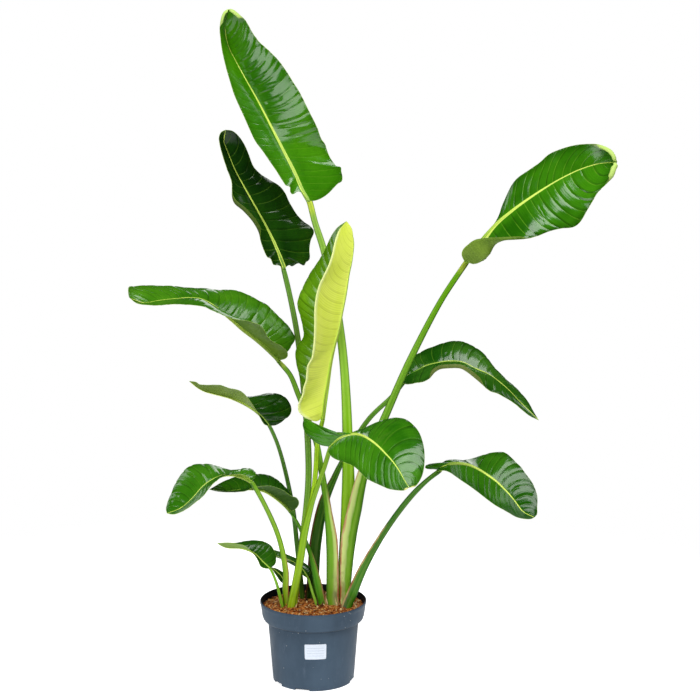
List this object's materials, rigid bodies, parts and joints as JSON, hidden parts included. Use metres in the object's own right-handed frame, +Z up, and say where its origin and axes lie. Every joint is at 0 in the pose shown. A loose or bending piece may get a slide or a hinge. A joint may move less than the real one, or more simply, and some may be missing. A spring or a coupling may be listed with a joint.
{
  "type": "potted bird of paradise plant",
  "caption": "Tall house plant with large paddle-shaped leaves on long arching stalks that rise from the soil of a plain plastic nursery pot.",
  "frame": {"origin": "centre of the pot's underside, on the surface that it stands on", "axes": "+Z up, +X to the right and +Y away from the viewer, as the picture shows the plant"},
  "size_m": [1.2555, 0.4045, 1.742],
  "materials": {
    "pot_plastic": "satin",
    "label_paper": "satin",
    "potting_soil": "matte",
    "blade_bright": "gloss",
    "blade_mid": "gloss",
    "blade_deep": "gloss",
    "blade_lime": "satin",
    "stalk_green": "satin",
    "stalk_dark": "satin",
    "stalk_lime": "satin"
  },
  "bodies": {
    "root": {"pot": "pot_plastic", "label": "label_paper", "soil": "potting_soil", "top_leaf_blade": "blade_bright", "top_leaf_stalk": "stalk_green", "second_leaf_blade": "blade_deep", "second_leaf_stalk": "stalk_dark", "left_leaf_blade": "blade_mid", "left_leaf_stalk": "stalk_green", "right_top_leaf_blade": "blade_bright", "right_top_leaf_stalk": "stalk_green", "young_leaf_blade": "blade_lime", "young_leaf_stalk": "stalk_lime", "left_middle_leaf_blade": "blade_deep", "left_middle_leaf_stalk": "stalk_dark", "right_middle_leaf_blade": "blade_mid", "right_middle_leaf_stalk": "stalk_dark", "front_leaf_blade": "blade_mid", "front_leaf_stalk": "stalk_lime", "low_right_leaf_blade": "blade_mid", "low_right_leaf_stalk": "stalk_green", "low_left_leaf_blade": "blade_mid", "low_left_leaf_stalk": "stalk_lime", "low_back_leaf_blade": "blade_mid", "low_back_leaf_stalk": "stalk_green", "small_left_leaf_blade": "blade_mid", "small_left_leaf_stalk": "stalk_green", "small_back_leaf_blade": "blade_mid", "small_back_leaf_stalk": "stalk_green", "foot_leaflet_blade": "blade_deep", "foot_leaflet_stalk": "stalk_dark"}
  },
  "joints": []
}
